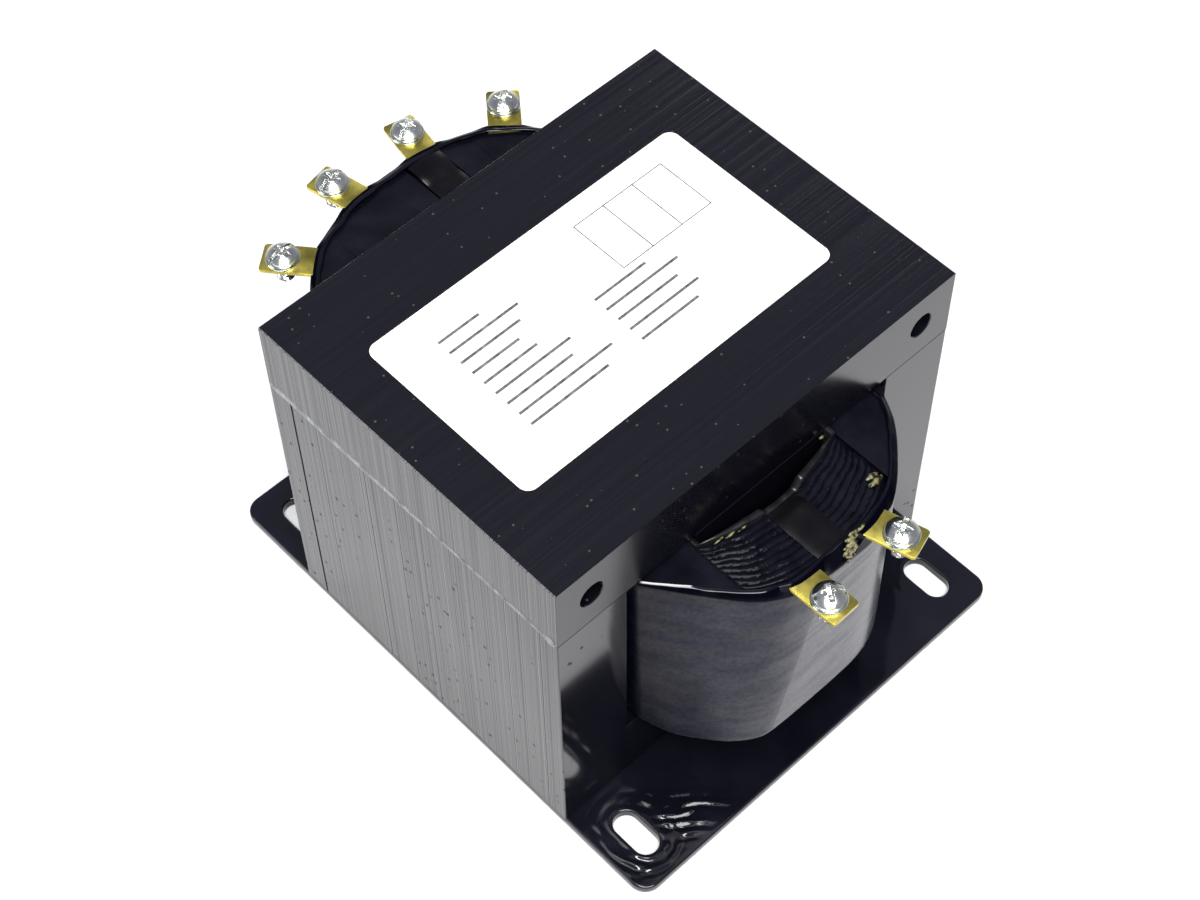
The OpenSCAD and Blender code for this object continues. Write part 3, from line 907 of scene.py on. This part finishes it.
def build_end_papers(tucked, look):
    """End papers: two gently cockled panels at the primary end, which curl up at the former."""
    paper = 0.35
    share = np.linspace(0, 1, 30)
    spans = (("primary_end_paper_left", -INNER_HALF, 4.4), ("primary_end_paper_right", 15.6, INNER_HALF))
    for name, start, end in spans:
        y = np.linspace(start, end, 30)[:, None]
        x = -between(end_reach(0.2 / BUILD, y, BACK_RIM), end_reach(tucked, y, BACK_RIM), share)
        cockle = 0.1 * waves(x, y, 15, 95)
        curl = 0.5 * rise(share, 0.12, 0.0)
        top = stack_xyz(x, y, COIL_TOP + 0.2 + cockle + curl)
        make_piece(f"{name}_sheet", sheet(top, paper), look, [name], sharp=50)


def build_straps(sizes, look):
    """Tape straps: a strip from the former to the lip of the wrap, which sags a little and rises over a
    tab."""
    half = 5.1
    tape = 0.4
    across = np.linspace(-1, 1, 13)
    share = np.linspace(0, 1, 34)[:, None]
    spans = (("secondary_strap", 1, OUTER_FRONT, 0.0, 0.0), ("primary_strap", -1, OUTER_BACK, 10.0, 1.0))
    for name, side, rim, middle, step in spans:
        x = between(INNER_REACH + 0.2, rim - sizes.lip / MM + 0.5, share)
        y = middle + half * across * (1 + 0.04 * waves(x, 0, 9, 97 + side))
        z = COIL_TOP + 0.55 - 0.6 * rise(share, 0.2, 0.0) + step * rise(share, 0.55, 0.8)
        z = z + 0.1 * waves(x, y, 9, 98 + side) - 0.25 * across**4 - 0.2 * rise(share, 0.8, 1.0)
        strip = sheet(stack_xyz(side * x, y, z), tape)
        make_piece(f"{name}_tape", strip, look, [name], sharp=50)


def lump(centre, size, seed):
    """Closed lump: a sphere drawn out to a size along each axis, its radius made uneven by waves."""
    turn = circle(18)
    fall = np.linspace(0, math.pi, 11)[:, None]
    unit = stack_xyz(np.sin(fall) * np.cos(turn), np.sin(fall) * np.sin(turn), np.cos(fall))
    x, y, z = np.moveaxis(unit, -1, 0)
    radius = 1 + 0.2 * np.sin(fall) * waves(x + 0.7 * z, y - 0.7 * z, 1.5, seed)
    return grid(np.array(centre) + unit * radius[..., None] * np.array(size), close_columns=True)


def crumbs():
    """Middles and half sizes in mm of a smear of crumbs, scattered along a line down the leaning rim of
    the wrap."""
    count = 60
    draw = np.random.default_rng(131)
    share = draw.uniform(0, 1, count)
    spread = draw.normal(size=(2, count))
    down = np.clip(4.4 * share + 0.5 * spread[0], 0, 4.6)
    across = between(7.0, 1.4, share) + 1.1 * spread[1]
    middle = np.stack([77.65 + 0.66 * down, across, 91.25 - down], axis=1)
    size = draw.uniform(0.25, 1.0, (count, 1)) * np.array([0.6, 1.2, 0.55])
    return zip(middle, size)


def build_crusts(colours):
    """Dried varnish: pale lumps on the rim and the layers at the secondary end, each an uneven sphere."""
    places = [*CRUSTS, *crumbs()]
    lumps = [lump(centre, size, 120 + number) for number, (centre, size) in enumerate(places)]
    look = Look("dried_varnish")
    pattern = look.noise(700)
    look.paint("Base Color", pattern, [(0.42, tint(colours.crust, 0.05)), (0.6, tuple(colours.crust))])
    look.paint("Roughness", pattern, [(0.3, 0.15), (0.7, 0.4)])
    look.relief(pattern, 0.15)
    make_piece("dried_varnish", lumps, look, sharp=60)


def build_tabs(look):
    """Terminal tabs: an eased section carried out from the rim, with rounded outer corners and a slight
    bend."""
    along = np.concatenate([np.linspace(-9.0, 4.5, 14), [4.9, 5.2, 5.42, 5.55, 5.6]])
    narrow = np.concatenate([np.ones(14), [0.985, 0.96, 0.925, 0.89, 0.86]])[:, None]
    under_screw = 10
    for group, number, turn in TERMINALS:
        name = f"{group}_tab_{number}"
        centre = middle_of(f"{group}_screw_{number}")
        low, high = box_of(name)
        section = rounded_rectangle(TAB_WIDTH / 2, (high[2] - low[2]) / 2, 0.22, 4)
        uneven = 0.05 * waves(along, 0, 12, 100 + 10 * number + len(group))
        bend = (-0.02 * np.maximum(along, -6) + uneven)[:, None]
        across = section[:, 0] * narrow
        out_x, out_y = heading(turn)
        x = centre[0] + along[:, None] * out_x - across * out_y
        y = centre[1] + along[:, None] * out_y + across * out_x
        z = (low[2] + high[2]) / 2 + section[:, 1] + bend - bend[under_screw]
        make_piece(f"{name}_brass", bar(stack_xyz(x, y, z)), look, [name])


def build_washers(look):
    """Washers: an eased ring section carried round each screw."""
    eased = 0.15
    angle = circle(64)
    for group, number, turn in TERMINALS:
        name = f"{group}_washer_{number}"
        low, high = box_of(name)
        outer = (high[0] - low[0]) / 2
        radius = column(SCREW_RADIUS, outer - eased, outer, outer, outer - eased, SCREW_RADIUS)
        height = column(low[2], low[2], low[2] + eased, high[2] - eased, high[2], high[2])
        points = turned_about(middle_of(name), radius, angle, height)
        make_piece(f"{name}_zinc", [grid(points, True, True)], look, [name])


def drive_recess(x, y):
    """Depth of the straight slot and of the cross recess in a screw head; each arm of the cross rises
    from the middle to its end."""
    soft = 0.15
    wide = 0.62
    arm = 2.6
    slot_depth = 0.55
    cross_depth = 1.3
    x, y = np.abs(x), np.abs(y)
    in_slot = rise(y, wide + soft, wide - soft)
    across_slot = rise(x, wide + soft, wide - soft)
    cross = np.maximum(in_slot * np.clip(1 - x / arm, 0, 1), across_slot * np.clip(1 - y / arm, 0, 1))
    return np.maximum(slot_depth * in_slot, cross_depth * cross)


def build_screws(sizes, look):
    """Terminal screws: one profile of radius and height turned about the axis; the drive is cut down into
    the head and the radius of the shank follows a helix."""
    angle = circle(160)
    dome = np.linspace(0, 1, 46)[:, None]
    pitch = sizes.thread_pitch / MM
    thread_depth = 0.5
    for group, number, turn in TERMINALS:
        name = f"{group}_screw_{number}"
        low, high = box_of(name)
        head = (high[0] - low[0]) / 2
        foot = low[2]
        seat = box_of(f"{group}_washer_{number}")[1][2]
        rim = seat + 1.2
        shoulder = head * dome
        turned = angle - np.radians(turn + 37 * number + 20)
        recess = drive_recess(shoulder * np.cos(turned), shoulder * np.sin(turned))
        head_z = np.maximum(rim + (high[2] - rim) * (1 - dome**2.4) - recess, seat + 0.2)
        side_z = column(rim - 0.1, seat + 0.25, seat + 0.08, seat, seat)
        shank_z = np.linspace(seat - 0.2, foot + 0.5, 44)[:, None]
        helix = np.abs((shank_z / pitch + angle / FULL_TURN) % 1 - 0.5) * 2
        rows = [
            (shoulder, head_z),
            (head * column(1.0, 1.0, 0.985, 0.95, 0.5), side_z),
            (SCREW_RADIUS - thread_depth * helix, shank_z),
            (column(1.6, 1.2, 0.0), column(foot + 0.2, foot, foot)),
        ]
        rows = [np.broadcast_arrays(radius, height, angle)[:2] for radius, height in rows]
        radius, height = (np.concatenate(part) for part in zip(*rows))
        points = turned_about(middle_of(name), radius, angle, height)
        patches = [grid(points, close_columns=True)]
        make_piece(f"{name}_zinc", patches, look, [name], sharp=45)


def label_look(colours):
    """Label paper: off-white, a little yellower in patches."""
    look = Look("label_paper")
    red, green, blue = colours.label
    yellower = (red, green * 0.985, blue * 0.9)
    look.paint("Base Color", look.noise(18), [(0.35, (red, green, blue)), (0.7, yellower)])
    fibre = look.noise(900, 2.0)
    look.paint("Roughness", fibre, [(0.3, 0.32), (0.7, 0.45)])
    look.relief(fibre, 0.004)
    return look


def ink_look():
    """Grey ink, worn thin in places."""
    look = Look("label_ink")
    look.paint("Base Color", look.noise(500), [(0.35, 0.05), (0.75, 0.2)])
    look.keep("Roughness", 0.5)
    return look


def label_half(sizes):
    """Half sizes of the label along and across the stack."""
    return sizes.label_width / MM / 2, sizes.label_length / MM / 2


def build_label(sizes, colours):
    """Label: rings of a rectangle with round corners, from its middle out to a thin edge that meets the
    core."""
    corner = 3.0
    loop = rounded_rectangle(*label_half(sizes), corner, 10)
    share = np.array([0.0, 0.4, 0.8, 0.97, 0.998, 1.0, 1.0, 0.0])
    rings = LABEL_CENTRE + share[:, None, None] * loop
    top = I_HIGH[2] + LABEL_THICKNESS
    under = I_HIGH[2] - 0.05
    z = column(top, top, top, top, top, top - 0.03, under, under)
    patches = [grid(at_height(rings, z), close_columns=True)]
    make_piece("rating_label", patches, label_look(colours), sharp=50)


def ruled_column(across, start, lengths):
    """Lines of one column, which all start at one side: the middle and the half size of each."""
    half = np.array(lengths) / 2
    return np.stack(np.broadcast_arrays(across, start + half, 0.4, half), axis=1)


def ruled_bars(half_x, half_y):
    """Middles and half sizes of the plain ruled lines on the label: two columns of lines and one framed
    box."""
    across = half_x - 14 - np.arange(9) * 4.1
    start = -half_y + 14
    left = ruled_column(across, start, [25, 30, 21, 24, 17, 15, 19, 22, 13])
    right = ruled_column(across[:5], start + 36, [19, 23, 20, 24, 17])
    upright = [(x, 26.0, 0.15, 15.0) for x in (-4.0, -22.0)]
    level = [(-13.0, y, 9.0, 0.15) for y in (11.0, 41.0, 21.0, 31.0)]
    return np.concatenate([left, right, np.array(upright + level)])


def build_ruling(sizes):
    """Ruling on the label: each line is a thin box, all made at once from their middles and half
    sizes."""
    bars = ruled_bars(*label_half(sizes))
    ink = 0.02
    outline = np.array([(-1, -1), (1, -1), (1, 1), (-1, 1)])
    plan = LABEL_CENTRE + bars[:, None, :2] + outline * bars[:, None, 2:]
    top = I_HIGH[2] + LABEL_THICKNESS
    points = np.concatenate([at_height(plan, top), at_height(plan, top + ink)], axis=1)
    sides = np.array([(3, 2, 1, 0), (4, 5, 6, 7), (0, 1, 5, 4), (1, 2, 6, 5), (2, 3, 7, 6), (3, 0, 4, 7)])
    faces = sides + 8 * np.arange(len(bars))[:, None, None]
    make_piece("label_ruling", [(points.reshape(-1, 3), faces.reshape(-1, 4))], ink_look())


def build_floor(colours):
    """Floor: one wide square just under the object."""
    half = 3.0
    z = -0.2 * MM
    mesh = bpy.data.meshes.new("studio_floor")
    corners = [(-half, -half, z), (half, -half, z), (half, half, z), (-half, half, z)]
    mesh.from_pydata(corners, [], [(0, 1, 2, 3)])
    look = Look("studio_floor")
    look.keep("Base Color", (*colours.floor, 1.0))
    look.keep("Roughness", 0.9)
    look.keep("Specular IOR Level", 0.1)
    mesh.materials.append(look.material)
    floor = bpy.data.objects.new("studio_floor", mesh)
    bpy.context.scene.collection.objects.link(floor)


def add_softbox(name, place, aim, size, power):
    """Soft light of some width and height at a place, turned to a point."""
    lamp = bpy.data.lights.new(name, "AREA")
    lamp.shape = "RECTANGLE"
    lamp.size, lamp.size_y = size
    lamp.energy = power
    holder = bpy.data.objects.new(name, lamp)
    holder.location = place
    holder.rotation_euler = (Vector(aim) - Vector(place)).to_track_quat("-Z", "Y").to_euler()
    bpy.context.scene.collection.objects.link(holder)


def build_world():
    """Studio surroundings: pale near the horizon and dim overhead."""
    horizon = (0.8, 0.79, 0.72)
    middle = (0.36, 0.36, 0.36)
    overhead = (0.25, 0.26, 0.33)
    world = bpy.data.worlds.new("studio")
    bpy.context.scene.world = world
    world.use_nodes = True
    tree = world.node_tree
    tree.nodes.clear()
    place = tree.nodes.new("ShaderNodeTexCoord")
    split = tree.nodes.new("ShaderNodeSeparateXYZ")
    back = tree.nodes.new("ShaderNodeBackground")
    output = tree.nodes.new("ShaderNodeOutputWorld")
    tree.links.new(place.outputs["Generated"], split.inputs["Vector"])
    sky = ramp(tree, split.outputs["Z"], [(0.0, horizon), (0.2, middle), (0.7, overhead)])
    tree.links.new(sky, back.inputs["Color"])
    tree.links.new(back.outputs["Background"], output.inputs["Surface"])


def build_camera():
    """Camera at the photo's place: a long lens, high over the front left corner."""
    turn, height, roll = math.radians(47.279), math.radians(55.214), math.radians(-0.967)
    target = Vector((-18.97, 13.635, 16.951)) * MM
    distance = 666.328
    back = Vector((math.sin(turn) * math.cos(height), -math.cos(turn) * math.cos(height), math.sin(height)))
    right = Vector((0, 0, 1)).cross(back).normalized()
    up = back.cross(right)
    level = right * math.cos(roll) + up * math.sin(roll)
    upright = up * math.cos(roll) - right * math.sin(roll)
    lens = bpy.data.cameras.new("photo_camera")
    lens.sensor_fit = "HORIZONTAL"
    lens.sensor_width = 36.0
    lens.lens = 71.165
    camera = bpy.data.objects.new("photo_camera", lens)
    turned = Matrix((level, upright, back)).transposed().to_4x4()
    camera.matrix_world = Matrix.Translation(target + back * distance * MM) @ turned
    bpy.context.scene.collection.objects.link(camera)
    bpy.context.scene.camera = camera


def settings(context):
    """The sizes and colours set in the sidebar."""
    return context.scene.transformer_sizes, context.scene.transformer_colours


class TRANSFORMER_OT_foot_plate(bpy.types.Operator):
    """Builds the slotted foot plate and the runs of varnish on it"""

    bl_idname = "transformer.foot_plate"
    bl_label = "Foot plate"

    def execute(self, context):
        build_foot_plate(*settings(context))
        return {"FINISHED"}


class TRANSFORMER_OT_core(bpy.types.Operator):
    """Builds the E and I stacks of laminations"""

    bl_idname = "transformer.core"
    bl_label = "Core"

    def execute(self, context):
        sizes, colours = settings(context)
        build_e_stack(sizes, core_look(colours))
        build_i_stack(sizes, yoke_look(colours))
        return {"FINISHED"}


class TRANSFORMER_OT_welds(bpy.types.Operator):
    """Builds the weld beads along the seams of the core"""

    bl_idname = "transformer.welds"
    bl_label = "Weld beads"

    def execute(self, context):
        colours = settings(context)[1]
        # Weld beads in a pale varnish: scale on the beads and a painted highlight along them.
        build_welds(varnish("weld_varnish", colours.weld, (0.16, 0.3), (500, 80, 80), 0.02, 2.2))
        return {"FINISHED"}


class TRANSFORMER_OT_coil(bpy.types.Operator):
    """Builds the former, the windings, the outer wrap and the dried varnish on them"""

    bl_idname = "transformer.coil"
    bl_label = "Coil"

    def execute(self, context):
        sizes, colours = settings(context)
        build_former(colours)
        build_winding(sizes, colours)
        build_wrap(sizes, colours)
        build_crusts(colours)
        return {"FINISHED"}


class TRANSFORMER_OT_papers(bpy.types.Operator):
    """Builds the papers and tape straps on top of the coil"""

    bl_idname = "transformer.papers"
    bl_label = "Papers and straps"

    def execute(self, context):
        sizes, colours = settings(context)
        under_lip = 1 - 1.3 / BUILD
        paper = paper_look("end_paper", colours.paper, 0.2)
        build_window_papers(under_lip, paper)
        build_end_papers(under_lip, paper)
        build_straps(sizes, paper_look("strap_tape", colours.tape, 0.25))
        return {"FINISHED"}


class TRANSFORMER_OT_terminals(bpy.types.Operator):
    """Builds the tabs, washers and screws of the terminals"""

    bl_idname = "transformer.terminals"
    bl_label = "Terminals"

    def execute(self, context):
        sizes, colours = settings(context)
        build_tabs(metal("terminal_brass", colours.brass, 0.9, 0.42, (0.22, 0.42), (300, 300, 60)))
        zinc = metal("terminal_zinc", colours.zinc, 1.0, 0.7, (0.16, 0.26), 700)
        build_washers(zinc)
        build_screws(sizes, zinc)
        return {"FINISHED"}


class TRANSFORMER_OT_label(bpy.types.Operator):
    """Builds the label and its plain ruling"""

    bl_idname = "transformer.label"
    bl_label = "Label"

    def execute(self, context):
        sizes, colours = settings(context)
        build_label(sizes, colours)
        build_ruling(sizes)
        return {"FINISHED"}


class TRANSFORMER_OT_stage(bpy.types.Operator):
    """Builds the floor, the soft lights, the surroundings and the camera"""

    bl_idname = "transformer.stage"
    bl_label = "Stage"

    def execute(self, context):
        colours = settings(context)[1]
        context.scene.view_settings.view_transform = "Standard"
        build_floor(colours)
        build_world()
        add_softbox("key_light", (0.55, -0.35, 1.35), (0, 0, 0), (0.9, 0.9), 32.0)
        add_softbox("side_light", (-0.55, -1.08, 0.52), (0, 0, 0.1), (0.6, 0.35), 5.0)
        add_softbox("top_light", (-0.17, 0.015, 1.5), (0, 0, 0), (0.2, 0.2), 4.2)
        add_softbox("rim_light", (-0.82, 0.84, 0.62), (0, 0, 0.1), (0.3, 0.3), 1.2)
        build_camera()
        return {"FINISHED"}


OPERATORS = (
    TRANSFORMER_OT_foot_plate,
    TRANSFORMER_OT_core,
    TRANSFORMER_OT_welds,
    TRANSFORMER_OT_coil,
    TRANSFORMER_OT_papers,
    TRANSFORMER_OT_terminals,
    TRANSFORMER_OT_label,
    TRANSFORMER_OT_stage,
)


class TRANSFORMER_PT_build(bpy.types.Panel):
    """Lists the pieces and what can be changed on them"""

    bl_idname = "TRANSFORMER_PT_build"
    bl_label = "Transformer"
    bl_space_type = "VIEW_3D"
    bl_region_type = "UI"
    bl_category = "Transformer"

    def draw(self, context):
        for group in settings(context):
            for name in group.__annotations__:
                self.layout.prop(group, name)
        for operator in OPERATORS:
            self.layout.operator(operator.bl_idname)


CLASSES = (TransformerSizes, TransformerColours, *OPERATORS, TRANSFORMER_PT_build)


def register():
    """Registers the classes and hangs the settings on the scene."""
    for item in CLASSES:
        bpy.utils.register_class(item)
    bpy.types.Scene.transformer_sizes = PointerProperty(type=TransformerSizes)
    bpy.types.Scene.transformer_colours = PointerProperty(type=TransformerColours)


def unregister():
    """Takes back what register did."""
    del bpy.types.Scene.transformer_colours
    del bpy.types.Scene.transformer_sizes
    for item in reversed(CLASSES):
        bpy.utils.unregister_class(item)


def main():
    """Builds every piece and the stage."""
    register()
    bpy.ops.transformer.foot_plate()
    bpy.ops.transformer.core()
    bpy.ops.transformer.welds()
    bpy.ops.transformer.coil()
    bpy.ops.transformer.papers()
    bpy.ops.transformer.terminals()
    bpy.ops.transformer.label()
    bpy.ops.transformer.stage()
    bpy.context.view_layer.update()


if __name__ == "__main__":
    main()
